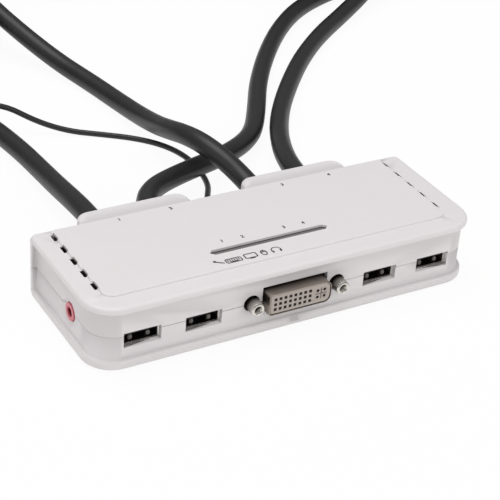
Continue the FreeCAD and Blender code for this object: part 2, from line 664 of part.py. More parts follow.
def coil_ring(node, x, y, low, outer, inner, height):
    """The outer shape of one coil: a flat ring."""
    ring = rod("coil_outer", "Z", outer, height, x, y, low)
    eye = rod("coil_eye", "Z", inner, height, x, y, low)
    return keep(node, cut("coil", ring, [eye]))


# From each relief the cable drops to the floor; cable 3 passes over cable 2 on its way back.
CABLE_ROUTES = [
    [(-42.4, 41, 12.7), (-42.0, 52, 12.2), (-41.3, 66, 10.2), (-40.2, 82, 7.2), (-39.3, 99, 4.8),
     (-39.8, 117, 4.0), (-42.3, 136, 4.0), (-46.4, 155, 4.0), (-48.6, 174, 4.0),
     (-46.8, 192, 4.0), (-39.0, 208.5, 4.0), (-24.2, 225.2, 4.0)],
    [(-22.0, 41, 12.7), (-19.4, 48.4, 12.4), (-14.6, 56.0, 11.6), (-7.2, 62.8, 10.2),
     (2.6, 68.0, 9.2), (13.5, 71.9, 8.8), (25.5, 76.1, 8.2), (37.0, 82.4, 6.8), (47.5, 90.8, 5.2),
     (56.2, 101, 4.0), (65.5, 115.5, 4.0), (79.0, 138, 4.0), (98.0, 163.5, 4.0), (118.0, 186, 4.0),
     (137.5, 202.5, 4.0), (157.0, 212.4, 4.0), (175.0, 218.4, 4.0), (191.6, 226.4, 4.0),
     (206.9, 237.3, 4.0)],
    [(22.0, 41, 12.7), (21.2, 48.3, 14.2), (19.0, 55.2, 17.0), (16.2, 62.4, 19.5),
     (13.8, 70.8, 20.5), (12.5, 80.5, 19.1), (12.5, 92, 15.4), (13.8, 106, 10.6),
     (15.0, 123.5, 6.2), (14.2, 143, 4.0), (11.0, 163.5, 4.0), (5.5, 183, 5.4), (-1.6, 199.5, 10.4),
     (-8.6, 213.2, 16.6), (-12.2, 226.6, 20.3), (-10.2, 239.9, 20.4), (-7.7, 253.7, 20.4)],
    [(42.4, 41, 12.7), (44.3, 51, 12.2), (49.0, 65, 10.3), (56.6, 81, 7.6), (65.6, 97, 5.0),
     (76.2, 113, 4.0), (91.5, 132, 4.0), (110.0, 152.5, 4.0), (131.0, 171.5, 4.0),
     (154.0, 188, 4.2), (175.5, 201.6, 7.2), (194.6, 214.2, 13.4), (208.0, 229.8, 20.3),
     (215.3, 246.6, 20.4)],
]
# From each coil the cable runs down to the flexible end of its plug.
CABLE_TAILS = [
    [(-103.0, 262, 12.0), (-103.6, 250, 11.6), (-103.4, 237.6, 10.0), (-101.8, 225.2, 8.4),
     (-101.0, 213, 7.75)],
    [(176.0, 322.1, 12.0), (165.6, 322.3, 11.4), (155.0, 323.4, 10.1), (144.2, 324.0, 8.6),
     (133.4, 324.2, 7.75)],
    [(-10.7, 281.3, 28.4), (-15.9, 292.0, 27.4), (-16.8, 303.2, 24.0), (-13.0, 313.2, 19.2),
     (-5.6, 320.4, 14.0), (4.0, 324.0, 9.8), (14.0, 324.2, 7.75)],
    [(152.0, 315.7, 28.4), (141.4, 309.2, 27.4), (131.4, 301.0, 23.8), (122.2, 291.6, 17.4),
     (112.2, 284.0, 11.4), (100.7, 280.5, 8.3), (89.5, 280.0, 7.75)],
]
COIL_PLACES = [(-55, 262, 0), (176, 274.1, 0), (-55, 262, 16.4), (176, 274.1, 16.4)]
PLUG_PLACES = [(-101, 199, -90), (119.4, 324.2, 180), (28, 324.2, 0), (75.5, 280, 180)]
bundle = size("cable_dia")
for n, (route, tail) in enumerate(zip(CABLE_ROUTES, CABLE_TAILS), 1):
    tubes = [cord_tube(f"cable {n} {part}", [V(*point) for point in points], bundle)
             for part, points in (("lead", route), ("tail", tail))]
    cord_node(f"cable_{n}", tubes)
    radii = ("dims.coil_mean + dims.cable_dia", "dims.coil_mean - dims.cable_dia")
    coil_ring(f"cable_coil_{n}", *COIL_PLACES[n - 1], *radii, "2 * dims.cable_dia")

# ---- far end of each cable: monitor plug with thumbscrews, USB plug on a short lead ------------
PIN_PITCH = size("pin_pitch")
USB_LEAD = [(0, 9, 12.5), (-9.0, 10.3, 13.0), (-19.4, 10.5, 14.4), (-27.2, 2.9, 16.8),
            (-27.2, -8.2, 19.0), (-19.2, -15.7, 20.1), (-8.0, -14.6, 20.2), (1, -11, 19.9)]
usb_leads, usb_bodies, usb_cans, plug_pins = [], [], [], []


def far_place(x, y, turn):
    """Where a plug lies: its rear face's middle on the floor, and the way it points."""
    return FreeCAD.Placement(V(x, y, 0), FreeCAD.Rotation(V(0, 0, 1), turn))


def plug_hood():
    """The moulded body with its tapered cable end, and a hole through each side for a thumbscrew."""
    half = "dims.plug_w / 2"
    body = block("hood", 0, "dims.plug_long", f"-{half}", half, 0, "dims.plug_tall")
    soft = rounded("hood_round", body, 3, lambda edge: runs_along(edge, "X")
                   or runs_along(edge, "Z") and edge.BoundBox.XMin < 1)
    relief = taper("hood_relief", "X", 4.9, 6.6, 14, -14, 0, "dims.plug_tall / 2")
    tools = [rod("screw_way", "X", 1.55, 60, -5, f"{side} * dims.jackscrew_gap / 2",
                 "dims.plug_tall / 2") for side in (-1, 1)]
    return cut("hood_cut", fuse("hood_solid", [soft, relief]), tools)


def plug_metal():
    """The drawn shell that slides over the socket, with its floor plate."""
    middle = "dims.plug_tall / 2"
    faces = ("-dims.dvi_w / 2 - 0.6", "dims.dvi_w / 2 + 0.6")
    rise = (f"{middle} - dims.dvi_tall / 2 - 0.6", f"{middle} + dims.dvi_tall / 2 + 0.6")
    skin = block("skin", "dims.plug_long", "dims.plug_long + 6.5", *faces, *rise)
    skin = rounded("skin_round", skin, 1.6, lambda edge: runs_along(edge, "X"))
    inner = ("-dims.dvi_w / 2 - 0.15", "dims.dvi_w / 2 + 0.15")
    inner_rise = (f"{middle} - dims.dvi_tall / 2 - 0.15", f"{middle} + dims.dvi_tall / 2 + 0.15")
    room = block("skin_room", "dims.plug_long + 0.6", "dims.plug_long + 8", *inner, *inner_rise)
    room = rounded("room_round", room, 1.2, lambda edge: runs_along(edge, "X"))
    return cut("plug_skin", skin, [room])


def thumbscrew(side):
    """A steel screw with a knob behind the hood and a thread end in front."""
    y, z = f"{side} * dims.jackscrew_gap / 2", "dims.plug_tall / 2"
    knob = rod("knob", "X", 3.9, 10.5, -11, y, z)
    knob = rounded("knob_round", knob, 0.6, lambda edge: len(edge.Vertexes) == 1)
    shank = rod("shank", "X", 1.5, "dims.plug_long + 5.5 + 1", -1, y, z)
    slot = block("knob_slot", -12, -10, f"{y} - 3", f"{y} + 3", f"{z} - 0.5", f"{z} + 0.5")
    return cut("thumbscrew", fuse("screw_metal", [knob, shank]), [slot])


def usb_plug_parts():
    """The small plug that lies on the hood: a moulded body and a steel shell with its tongue."""
    low, high, y0, y1 = "dims.plug_tall + 0.15", "dims.plug_tall + 8.65", -19, -3
    body = block("usb_grip", 1, 27, y0, y1, low, high)
    grip = rounded("usb_grip_round", body, 2, lambda edge: runs_along(edge, "X"))
    rise = ("dims.plug_tall + 2.15", "dims.plug_tall + 6.65")
    can = block("usb_can", 27, 39, -17, -5, *rise)
    room = block("usb_room", 27.5, 40, -16.7, -5.3, "dims.plug_tall + 4.5",
                 "dims.plug_tall + 6.35")
    return grip, cut("usb_plug_can", can, [room])


for n, place in enumerate(PLUG_PLACES, 1):
    where = far_place(*place)
    keep(f"dvi_plug_{n}", plug_hood(), where)
    keep(f"dvi_plug_shell_{n}", plug_metal(), where)
    for letter, side in (("left", 1), ("right", -1)):
        keep(f"thumbscrew_{n}_{letter}", thumbscrew(side), where)
    grip, can = usb_plug_parts()
    grip.Placement = can.Placement = where
    usb_bodies.append(grip)
    usb_cans.append(can)
    points = [where.multVec(V(*point)) for point in USB_LEAD]
    usb_leads.append(cord_tube(f"usb lead {n}", points, size("usb_lead_dia")))
    start, middle = size("plug_long") + 0.6, size("plug_tall") / 2
    for column in range(8):
        for line in (-1, 0, 1):
            pin = Part.makeBox(4.6, 0.6, 0.6, V(start, -6.3 + column * PIN_PITCH - 0.3,
                                                middle + line * PIN_PITCH - 0.3))
            pin.Placement = where.multiply(pin.Placement)
            plug_pins.append(pin)
keep("usb_plugs", group("usb_grips", usb_bodies))
keep("usb_plug_shells", group("usb_plug_cans", usb_cans))
cord_node("usb_leads", usb_leads)
pins = doc.addObject("Part::Feature", "pin_rows")
pins.Shape = Part.makeCompound(plug_pins)
keep("dvi_plug_pins", pins)

# ---- remote selector: a moulded puck with one sprung button, on a thin lead --------------------
REMOTE_ROUTE = [(1, 35, 9), (2.6, 41, 8.8), (6.0, 48.5, 7.5), (11.0, 57, 5.2), (16.2, 66, 2.7),
                (19.6, 75.5, 1.15), (21.0, 86, 1.15), (20.2, 96.5, 1.15), (16.2, 106.5, 1.15),
                (8.5, 115.5, 1.15), (-2.5, 123.5, 1.15), (-14.0, 130.2, 1.6), (-25.5, 136.6, 5.2),
                (-37.5, 142.6, 12.4), (-50.5, 146.8, 12.4), (-62.0, 149.6, 6.6),
                (-72.5, 150.9, 2.0), (-82.3, 150.8, 1.15), (-92, 150.25, 1.15)]
REMOTE_TAIL = [(-109.25, 136, 8.05), (-109.25, 129.3, 8.0), (-105.8, 122.7, 6.9),
               (-99.5, 118.3, 5.6), (-96, 111.7, 5.0), (-96, 105, 5.0)]
thin = size("remote_dia")
cord_node("remote_lead", [cord_tube("remote lead", [V(*point) for point in REMOTE_ROUTE], thin),
                          cord_tube("remote tail", [V(*point) for point in REMOTE_TAIL], thin)])
coil_ring("remote_coil", -92, 133, 0, "6 * 2.3 + 2 * 2.3", "6 * 2.3 - 2 * 2.3", "4 * 2.3")
puck = ("-114", "-78", "60", "100")


def puck_half(name, low, high):
    body = block(name, *puck, low, high)
    return rounded(name + "_round", body, 7, lambda edge: runs_along(edge, "Z"))


well = rod("button_well", "Z", 8.6, 9, -96, 78, 5)
nub = taper("puck_relief", "Y", 2.6, 1.6, 5, -96, 100, 5)
keep("remote_base", cut("puck_low", fuse("puck_solid", [puck_half("puck_base", 0, 7), nub]), [well]))
button_hole = rod("button_hole", "Z", 7.25, 9, -96, 78, 6)
under = rod("button_room", "Z", 8.6, 2.6, -96, 78, 6)
keep("remote_cover", cut("puck_top", rounded("puck_soft", puck_half("puck_cover", 7.15, 13.5), 1.8,
                                             level_edges(13.5)), [button_hole, under]))
cap = rod("cap", "Z", 7.1, 8.4, -96, 78, 6.6)
collar = rod("collar", "Z", 8.3, 1.6, -96, 78, 6.6)
keep("remote_button", fuse("button", [rounded("cap_round", cap, 0.7, level_edges(15.0)), collar]))

# ---- checks, then one STEP file for each node -------------------------------------------------
doc.recompute()
broken = [obj.Name for obj in doc.Objects if "Invalid" in obj.State or "Error" in obj.State]
if broken:
    raise ValueError("objects that failed: " + ", ".join(broken))
for node, piece in pieces.items():
    if piece.Shape.isNull() or not piece.Shape.isValid() or piece.Shape.Volume < 0.01:
        raise ValueError(node + ": its shape is null or not valid")
os.makedirs("parts", exist_ok=True)
for node, piece in pieces.items():
    piece.Shape.exportStep(f"parts/{node}.step")
print(len(pieces), "nodes written")
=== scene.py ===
import math

import bpy
import bmesh
import numpy as np
from mathutils import Matrix, Vector


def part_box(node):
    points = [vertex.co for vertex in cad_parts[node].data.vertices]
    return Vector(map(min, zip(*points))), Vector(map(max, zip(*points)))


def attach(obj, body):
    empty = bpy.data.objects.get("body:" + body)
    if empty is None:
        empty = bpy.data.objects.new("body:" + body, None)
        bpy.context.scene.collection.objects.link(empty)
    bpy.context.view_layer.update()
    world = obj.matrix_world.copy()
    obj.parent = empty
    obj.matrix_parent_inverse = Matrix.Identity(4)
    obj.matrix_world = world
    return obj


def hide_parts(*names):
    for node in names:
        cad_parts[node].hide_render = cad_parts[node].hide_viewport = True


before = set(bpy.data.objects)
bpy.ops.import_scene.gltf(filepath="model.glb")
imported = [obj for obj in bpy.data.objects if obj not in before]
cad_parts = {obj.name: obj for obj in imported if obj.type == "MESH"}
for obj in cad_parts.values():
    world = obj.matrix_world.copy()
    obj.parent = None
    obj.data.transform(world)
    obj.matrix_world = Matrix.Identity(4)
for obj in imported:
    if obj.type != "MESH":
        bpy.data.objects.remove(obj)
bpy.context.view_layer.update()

# ---- viewpoint -------------------------------------------------------------------------------
# A long lens looks down on the case's left front corner, a little rolled. Lengths in this file are
# millimetres from the middle of the case on the surface that it stands on, until they are placed.
MM = 0.001
case_low, case_high = (np.array(corner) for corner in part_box("lower_shell"))
case_middle = np.array([0.0, (case_low[1] + case_high[1]) / 2, 0.0])


def placed(points):
    """Millimetres from the case's middle to metres in the frame."""
    return np.asarray(points, float) * MM + case_middle


scene = bpy.context.scene
scene.view_settings.view_transform = "Standard"
azimuth, elevation, roll = (math.radians(angle) for angle in (-31.67, 31.51, 4.45))
lens_mm, sensor_mm, aimed_at, distance = 110.58, 36, (-3.45, 0, 16.28), 0.52848
back = Vector((math.sin(azimuth) * math.cos(elevation), -math.cos(azimuth) * math.cos(elevation),
               math.sin(elevation)))
across = (-back).cross(Vector((0, 0, 1))).normalized()
upward = across.cross(-back)
right = math.cos(roll) * across + math.sin(roll) * upward
up = math.cos(roll) * upward - math.sin(roll) * across
viewer = bpy.data.objects.new("viewer", bpy.data.cameras.new("viewer"))
viewer.data.lens = lens_mm
viewer.data.sensor_width = sensor_mm
viewer.data.clip_start = 0.05
viewer.matrix_world = Matrix((right, up, back)).transposed().to_4x4()
viewer.location = Vector(placed(aimed_at)) + back * distance
scene.collection.objects.link(viewer)
scene.camera = viewer


# ---- black PVC: the jackets of the cables and leads -------------------------------------------
# Flexible PVC pulled through a round die: nearly black, satin, with a faint grain of 0.3 mm and
# long soft marks from the drum. It gives broad, dim highlights along each cable.
def linear(colour):
    """An sRGB hex colour as linear red, green, blue and alpha."""
    parts = np.array([int(colour[n:n + 2], 16) for n in (1, 3, 5)]) / 255
    low, high = parts / 12.92, ((parts + 0.055) / 1.055) ** 2.4
    return (*np.where(parts <= 0.04045, low, high), 1.0)


def add_node(tree, kind, settings=(), links=()):
    """Adds one node: settings go to its properties or input sockets, links come from output sockets."""
    made = tree.nodes.new("ShaderNode" + kind)
    for name, value in dict(settings).items():
        if isinstance(name, int) or name in made.inputs:
            made.inputs[name].default_value = value
        else:
            setattr(made, name, value)
    for name, source in dict(links).items():
        tree.links.new(source, made.inputs[name])
    return made


def new_material(name):
    """An empty material with its output node, and its tree."""
    material = bpy.data.materials.new(name)
    material.use_nodes = True
    material.node_tree.nodes.clear()
    return material, material.node_tree


def inside_box(tree, place, low_mm, high_mm):
    """1 where the shaded point lies between two corners, else 0."""
    low, high = placed(low_mm), placed(high_mm)
    offset = add_node(tree, "VectorMath", {"operation": "SUBTRACT", 1: (low + high) / 2}, {0: place})
    size = add_node(tree, "VectorMath", {"operation": "ABSOLUTE"}, {0: offset.outputs[0]})
    beyond = add_node(tree, "VectorMath", {"operation": "SUBTRACT", 1: (high - low) / 2},
                      {0: size.outputs[0]})
    parts = add_node(tree, "SeparateXYZ", {}, {0: beyond.outputs[0]})
    most = add_node(tree, "Math", {"operation": "MAXIMUM"}, {0: parts.outputs[0], 1: parts.outputs[1]})
    most = add_node(tree, "Math", {"operation": "MAXIMUM"}, {0: most.outputs[0], 1: parts.outputs[2]})
    return add_node(tree, "Math", {"operation": "LESS_THAN", 1: 0.0}, {0: most.outputs[0]}).outputs[0]


def moulded(name, colours, roughness, grain_mm, depth_mm, patch_mm=9.0, spread=0.04, shade_box=None,
            shade_fade=None, **shader):
    """Colour and roughness drift over patches, and a fine grain stands in relief. A box, given as a
    dark colour and two corners, paints shade: what lies in it takes that colour. A fade, given as a
    dark colour and two places along Y, paints shade too: its colour comes in between them."""
    material, tree = new_material(name)
    place = add_node(tree, "TexCoord").outputs["Object"]
    drift = add_node(tree, "TexNoise", {"Scale": 1 / (patch_mm * MM), "Detail": 3.0}, {"Vector": place})
    grain = add_node(tree, "TexNoise", {"Scale": 1 / (grain_mm * MM), "Detail": 2.0}, {"Vector": place})
    tint = add_node(tree, "Mix", {"data_type": "RGBA"}, {0: drift.outputs["Fac"]})
    tint.inputs[6].default_value, tint.inputs[7].default_value = (linear(c) for c in colours)
    # Painted shade: inside the box the colour gives way to a dark one.
    if shade_box:
        shade_colour, low_mm, high_mm = shade_box
        painted_shade_mix = add_node(tree, "Mix", {"data_type": "RGBA"}, {0: inside_box(tree, place, low_mm, high_mm)})
        tree.links.new(tint.outputs[2], painted_shade_mix.inputs[6])
        painted_shade_mix.inputs[7].default_value = linear(shade_colour)
        tint = painted_shade_mix
    # Painted shade: a dark colour comes in along Y.
    if shade_fade:
        shade_colour, clear_mm, full_mm = shade_fade
        ends = [placed((0, y, 0))[1] for y in (clear_mm, full_mm)]
        along = add_node(tree, "SeparateXYZ", {}, {0: place})
        amount = add_node(tree, "MapRange", {"From Min": ends[0], "From Max": ends[1]},
                          {"Value": along.outputs[1]})
        painted_fade_mix = add_node(tree, "Mix", {"data_type": "RGBA"}, {0: amount.outputs[0]})
        tree.links.new(tint.outputs[2], painted_fade_mix.inputs[6])
        painted_fade_mix.inputs[7].default_value = linear(shade_colour)
        tint = painted_fade_mix
    sheen = add_node(tree, "MapRange", {"To Min": roughness - spread, "To Max": roughness + spread},
                     {"Value": drift.outputs["Fac"]})
    relief = add_node(tree, "Bump", {"Strength": 1.0, "Distance": depth_mm * MM},
                      {"Height": grain.outputs["Fac"]})
    surface = add_node(tree, "BsdfPrincipled", shader, {
        "Base Color": tint.outputs[2], "Roughness": sheen.outputs[0], "Normal": relief.outputs[0]})
    add_node(tree, "OutputMaterial", {}, {"Surface": surface.outputs[0]})
    return material


jacket_pvc = moulded("extruded_black_pvc", ("#1b1b1d", "#252527"), 0.42, 0.3, 0.012,
                     **{"IOR": 1.5, "Specular IOR Level": 0.5})


# ---- four thick cables ------------------------------------------------------------------------
# Each carries picture, USB and sound in one 8 mm round jacket, and ends in a monitor plug and a
# USB plug. They drop from their reliefs to the surface; the spare length is wound in flat coils,
# two turns wide and two high, and one pair of coils lies on top of the other.
CABLE = 8.0
COIL_MEAN = 44.0


def cord_line(name, points, diameter):
    """A round cord along one NURBS spline that has the given control points."""
    line = bpy.data.curves.new(name, "CURVE")
    line.dimensions = "3D"
    line.bevel_depth = diameter * MM / 2
    line.bevel_resolution = 6
    line.resolution_u = 5
    line.use_fill_caps = True
    spline = line.splines.new("NURBS")
    spline.points.add(len(points) - 1)
    spline.points.foreach_set("co", np.c_[placed(points), np.ones(len(points))].ravel())
    spline.order_u = 3
    spline.use_endpoint_u = True
    line.materials.append(jacket_pvc)
    cord = bpy.data.objects.new(name, line)
    scene.collection.objects.link(cord)
    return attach(cord, "switch")


def bearing(point, centre):
    """The direction from a coil's centre to a point, in degrees."""
    return math.degrees(math.atan2(point[1] - centre[1], point[0] - centre[0]))


def cable_turns(lead_end, tail_start, centre):
    """Turns of a flat coil: a circle whose radius steps in, then out, and whose height steps up,
    each over 40 degrees where the turn beside it lies clear. The control points lie a little
    outside the circle, as the curve runs inside them."""
    first = bearing(lead_end, centre)
    sweep = (bearing(tail_start, centre) - first) % 360 + 3 * 360
    step = 20
    turned = np.linspace(0, sweep, round(sweep / step) + 1)
    outer, inner = COIL_MEAN + CABLE / 2, COIL_MEAN - CABLE / 2
    radius = np.interp(turned, [280, 320, 920, 960], [outer, inner, inner, outer])
    height = lead_end[2] + np.interp(turned, [600, 640], [0, CABLE])
    radius = radius / (0.75 + 0.25 * math.cos(math.radians(step)))
    angle = np.radians(first + turned)
    return np.c_[centre[0] + radius * np.cos(angle), centre[1] + radius * np.sin(angle), height]


CABLE_ROUTES = [
    [(-42.4, 41, 12.7), (-42.0, 52, 12.2), (-41.3, 66, 10.2), (-40.2, 82, 7.2), (-39.3, 99, 4.8),
     (-39.8, 117, 4.0), (-42.3, 136, 4.0), (-46.4, 155, 4.0), (-48.6, 174, 4.0),
     (-46.8, 192, 4.0), (-39.0, 208.5, 4.0), (-24.2, 225.2, 4.0)],
    [(-22.0, 41, 12.7), (-19.4, 48.4, 12.4), (-14.6, 56.0, 11.6), (-7.2, 62.8, 10.2),
     (2.6, 68.0, 9.2), (13.5, 71.9, 8.8), (25.5, 76.1, 8.2), (37.0, 82.4, 6.8), (47.5, 90.8, 5.2),
     (56.2, 101, 4.0), (65.5, 115.5, 4.0), (79.0, 138, 4.0), (98.0, 163.5, 4.0), (118.0, 186, 4.0),
     (137.5, 202.5, 4.0), (157.0, 212.4, 4.0), (175.0, 218.4, 4.0), (191.6, 226.4, 4.0),
     (206.9, 237.3, 4.0)],
    [(22.0, 41, 12.7), (21.2, 48.3, 14.2), (19.0, 55.2, 17.0), (16.2, 62.4, 19.5),
     (13.8, 70.8, 20.5), (12.5, 80.5, 19.1), (12.5, 92, 15.4), (13.8, 106, 10.6),
     (15.0, 123.5, 6.2), (14.2, 143, 4.0), (11.0, 163.5, 4.0), (5.5, 183, 5.4), (-1.6, 199.5, 10.4),
     (-8.6, 213.2, 16.6), (-12.2, 226.6, 20.3), (-10.2, 239.9, 20.4), (-7.7, 253.7, 20.4)],
    [(42.4, 41, 12.7), (44.3, 51, 12.2), (49.0, 65, 10.3), (56.6, 81, 7.6), (65.6, 97, 5.0),
     (76.2, 113, 4.0), (91.5, 132, 4.0), (110.0, 152.5, 4.0), (131.0, 171.5, 4.0),
     (154.0, 188, 4.2), (175.5, 201.6, 7.2), (194.6, 214.2, 13.4), (208.0, 229.8, 20.3),
     (215.3, 246.6, 20.4)],
]
CABLE_TAILS = [
    [(-103.0, 262, 12.0), (-103.6, 250, 11.6), (-103.4, 237.6, 10.0), (-101.8, 225.2, 8.4),
     (-101.0, 213, 7.75)],
    [(176.0, 322.1, 12.0), (165.6, 322.3, 11.4), (155.0, 323.4, 10.1), (144.2, 324.0, 8.6),
     (133.4, 324.2, 7.75)],
    [(-10.7, 281.3, 28.4), (-15.9, 292.0, 27.4), (-16.8, 303.2, 24.0), (-13.0, 313.2, 19.2),
     (-5.6, 320.4, 14.0), (4.0, 324.0, 9.8), (14.0, 324.2, 7.75)],
    [(152.0, 315.7, 28.4), (141.4, 309.2, 27.4), (131.4, 301.0, 23.8), (122.2, 291.6, 17.4),
     (112.2, 284.0, 11.4), (100.7, 280.5, 8.3), (89.5, 280.0, 7.75)],
]
left_coils, right_coils = (-55, 262), (176, 274.1)
for n, (route, tail, centre) in enumerate(zip(CABLE_ROUTES, CABLE_TAILS, [left_coils, right_coils] * 2), 1):
    wound = cable_turns(route[-1], tail[0], centre)
    cable = cord_line(f"cable_line_{n}", np.vstack([route[:-1], wound, tail[1:]]), CABLE)
    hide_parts(f"cable_{n}", f"cable_coil_{n}")

# ---- short USB leads --------------------------------------------------------------------------
# A 3.6 mm lead leaves each monitor plug beside the cable, turns back over it in a loop and ends in
# the USB plug that is stowed on top.
LEAD = 3.6
USB_LEAD = [(0, 9, 12.5), (-9.0, 10.3, 13.0), (-19.4, 10.5, 14.4), (-27.2, 2.9, 16.8),
            (-27.2, -8.2, 19.0), (-19.2, -15.7, 20.1), (-8.0, -14.6, 20.2), (1, -11, 19.9)]
PLUG_PLACES = [(-101, 199, -90), (119.4, 324.2, 180), (28, 324.2, 0), (75.5, 280, 180)]


def beside_plug(points, n):
    """Points in a plug's own directions, forward, left and up from its rear, to the case's."""
    x, y, turn = PLUG_PLACES[n - 1]
    cos, sin = round(math.cos(math.radians(turn))), round(math.sin(math.radians(turn)))
    forward, left, height = np.asarray(points, float).T
    return np.c_[x + forward * cos - left * sin, y + forward * sin + left * cos, height]


for n in range(1, 5):
    lead = cord_line(f"usb_lead_{n}", beside_plug(USB_LEAD, n), LEAD)
    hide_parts("usb_leads")

# ---- thin lead of the remote selector -----------------------------------------------------------
# A 2.3 mm two-core lead runs under the thick cables, over the left one in a low hump, and its
# spare length is wound in a small coil, four turns wide and four high.
THIN = 2.3
REMOTE_ROUTE = [(1, 35, 9), (2.6, 41, 8.8), (6.0, 48.5, 7.5), (11.0, 57, 5.2), (16.2, 66, 2.7),
                (19.6, 75.5, 1.15), (21.0, 86, 1.15), (20.2, 96.5, 1.15), (16.2, 106.5, 1.15),
                (8.5, 115.5, 1.15), (-2.5, 123.5, 1.15), (-14.0, 130.2, 1.6), (-25.5, 136.6, 5.2),
                (-37.5, 142.6, 12.4), (-50.5, 146.8, 12.4), (-62.0, 149.6, 6.6),
                (-72.5, 150.9, 2.0), (-82.3, 150.8, 1.15), (-92, 150.25, 1.15)]
REMOTE_TAIL = [(-109.25, 136, 8.05), (-109.25, 129.3, 8.0), (-105.8, 122.7, 6.9),
               (-99.5, 118.3, 5.6), (-96, 111.7, 5.0), (-96, 105, 5.0)]
remote_centre = (-92, 133)


def thin_turns(layers, wide):
    """A small coil wound in layers: the radius falls by a diameter a turn, then rises in the next
    layer, and each new layer lies one diameter higher."""
    outermost, start = 7.5, 0.25
    turned = np.linspace(0, layers * wide + start, layers * wide * 15 + 5)
    in_and_out = np.abs((turned + wide) % (2 * wide) - wide) * (wide - 1) / wide
    radius = THIN * (outermost - in_and_out)
    height = THIN * (0.5 + np.clip(np.floor(turned / wide), 0, layers - 1))
    angle = 2 * math.pi * (turned + start)
    return np.c_[remote_centre[0] + radius * np.cos(angle), remote_centre[1] + radius * np.sin(angle), height]


wound = thin_turns(4, 4)
remote_lead = cord_line("remote_lead_line", np.vstack([REMOTE_ROUTE[:-1], wound, REMOTE_TAIL[1:]]), THIN)
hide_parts("remote_lead", "remote_coil")

# ---- pale surface and studio light --------------------------------------------------------------
# A matt white sweep under soft lamps: a wide one overhead, one in front and a weak one on the left.
# What a view or a gloss sees of it is mostly plain white, and it keeps a faint shadow of the object.
sweep_material, tree = new_material("white_sweep")
ray = add_node(tree, "LightPath")
either = add_node(tree, "Math", {"operation": "MAXIMUM"},
                  {0: ray.outputs["Is Camera Ray"], 1: ray.outputs["Is Glossy Ray"]})
any_ray = add_node(tree, "Math", {"operation": "MAXIMUM"},
                   {0: either.outputs[0], 1: ray.outputs["Is Transmission Ray"]})
share = add_node(tree, "Math", {"operation": "MULTIPLY", 1: 0.94}, {0: any_ray.outputs[0]})
matt = add_node(tree, "BsdfDiffuse", {"Color": linear("#f4f3f2")})
glow = add_node(tree, "Emission", {"Color": (1, 1, 1, 1), "Strength": 1.0})
blend = add_node(tree, "MixShader", {}, {0: share.outputs[0], 1: matt.outputs[0], 2: glow.outputs[0]})
add_node(tree, "OutputMaterial", {}, {"Surface": blend.outputs[0]})

ground = bpy.data.meshes.new("sweep")
reach = 4.0
corners = [(-reach, -reach, 0), (reach, -reach, 0), (reach, reach, 0), (-reach, reach, 0)]
ground.from_pydata(corners, [], [(0, 1, 2, 3)])
ground.materials.append(sweep_material)
ground_piece = bpy.data.objects.new("sweep", ground)
scene.collection.objects.link(ground_piece)

world = bpy.data.worlds.new("studio")
world.use_nodes = True
scene.world = world
tree = world.node_tree
tree.nodes.clear()
ray = add_node(tree, "LightPath")
gloss = add_node(tree, "MapRange", {"To Min": 0.40, "To Max": 0.30}, {"Value": ray.outputs["Is Glossy Ray"]})
strength = add_node(tree, "MapRange", {"To Max": 1.0},
                    {"Value": ray.outputs["Is Camera Ray"], "To Min": gloss.outputs[0]})
air = add_node(tree, "Background", {"Color": (1, 1, 1, 1)}, {"Strength": strength.outputs[0]})
add_node(tree, "OutputWorld", {}, {"Surface": air.outputs[0]})


def soft_lamp(name, place_mm, aim_mm, size, watts):
    """A square white lamp that faces a point."""
    lamp = bpy.data.lights.new(name, "AREA")
    lamp.size = size
    lamp.energy = watts
    stand = bpy.data.objects.new(name, lamp)
    stand.location = placed(place_mm)
    facing = Vector(placed(aim_mm)) - stand.location
    stand.rotation_euler = facing.to_track_quat("-Z", "Y").to_euler()
    scene.collection.objects.link(stand)


soft_lamp("overhead", (-150, 250, 1100), (0, 20, 0), 0.9, 7.4)
soft_lamp("front", (330, -1100, 520), (0, 0, 10), 1.0, 4.8)
soft_lamp("left", (-1050, -150, 420), (0, 0, 10), 0.8, 1.3)

# ---- white ABS mouldings --------------------------------------------------------------------------
# Both shells of the case and the remote's two halves are injection moulded in white ABS from a
# finely spark-eroded mould: satin, with a grain of 0.25 mm and no visible drift in colour.
# The inside of the case, in the box given here, is painted dark brown-grey as painted shade.
white_abs = moulded("moulded_white_abs", ("#e6e2e3", "#e3dfe0"), 0.40, 0.25, 0.006, 14.0, 0.03,
                    ("#45413e", (-69.9, -17, 2), (69.9, 22.8, 24.3)),
                    **{"IOR": 1.53, "Specular IOR Level": 0.45})


def smooth_copy(node, material, body="switch", number=None, around=None, reach=30):
    """The node's own shape with its triangles joined and shaded smooth, except at its hard edges.
    A numbered copy keeps only what lies within reach of a point."""
    sharp_degrees = 28
    name = f"{node}_skin" if number is None else f"{node}_skin_{number}"
    work = bmesh.new()
    work.from_mesh(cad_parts[node].data)
    bmesh.ops.remove_doubles(work, verts=work.verts, dist=2e-6)
    if number is not None:
        middle = Vector(placed(around)).to_2d()
        far = [v for v in work.verts if (v.co.to_2d() - middle).length > reach * MM]
        bmesh.ops.delete(work, geom=far, context="VERTS")
    mesh = bpy.data.meshes.new(name)
    work.to_mesh(mesh)
    work.free()
    mesh.shade_smooth()
    mesh.set_sharp_from_angle(angle=math.radians(sharp_degrees))
    mesh.materials.clear()
    mesh.materials.append(material)
    piece = bpy.data.objects.new(name, mesh)
    scene.collection.objects.link(piece)
    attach(piece, body)
    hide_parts(node)
    return piece


for node in ("upper_shell", "lower_shell"):
    smooth_copy(node, white_abs)
